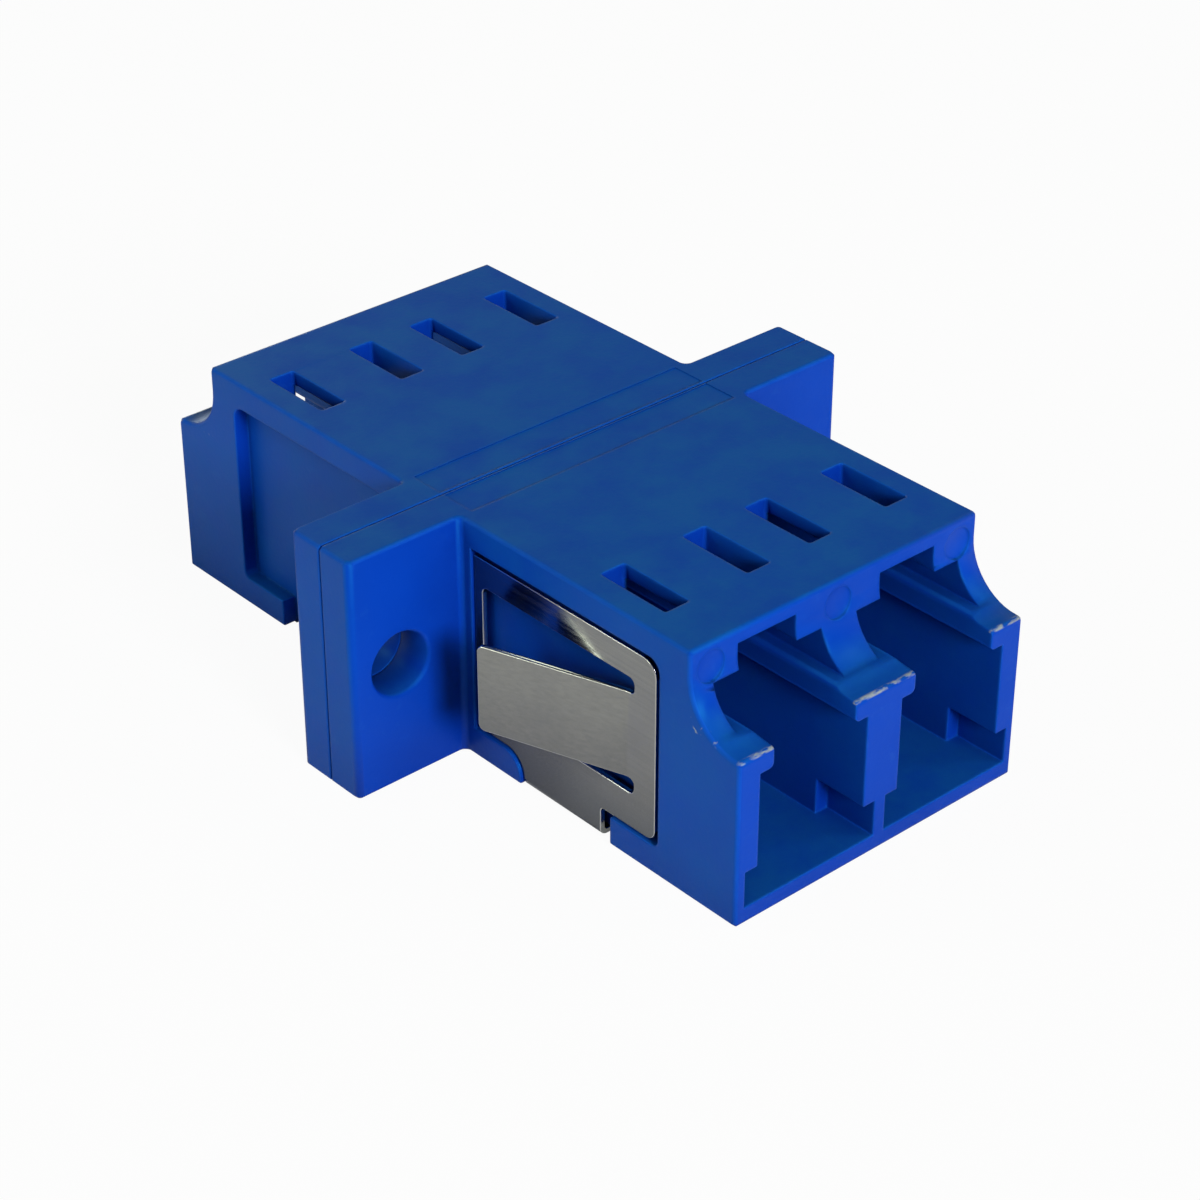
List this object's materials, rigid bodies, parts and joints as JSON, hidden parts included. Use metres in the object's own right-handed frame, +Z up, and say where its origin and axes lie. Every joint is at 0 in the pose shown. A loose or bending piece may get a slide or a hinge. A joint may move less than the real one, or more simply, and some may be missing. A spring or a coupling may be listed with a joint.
{
  "type": "fibre optic adapter",
  "caption": "Flanged fibre optic adapter that joins LC plugs end to end in split sleeves, with a folded sheet clip that holds it in a panel cut-out.",
  "frame": {"origin": "middle of the underside, in the plane of the weld seam at mid-flange", "axes": "+X across the ports, +Y along the plugs' way in at the near end, +Z up; the clip is on the -Y half"},
  "size_m": [0.022, 0.0294, 0.0092],
  "materials": {
    "housing": "satin moulded blue",
    "clip": "rolled stainless sheet",
    "sleeve": "polished ceramic"
  },
  "bodies": {
    "root": {"front_housing": "housing", "rear_housing": "housing", "panel_clip": "clip", "sleeve_left": "sleeve", "sleeve_right": "sleeve"}
  },
  "joints": []
}
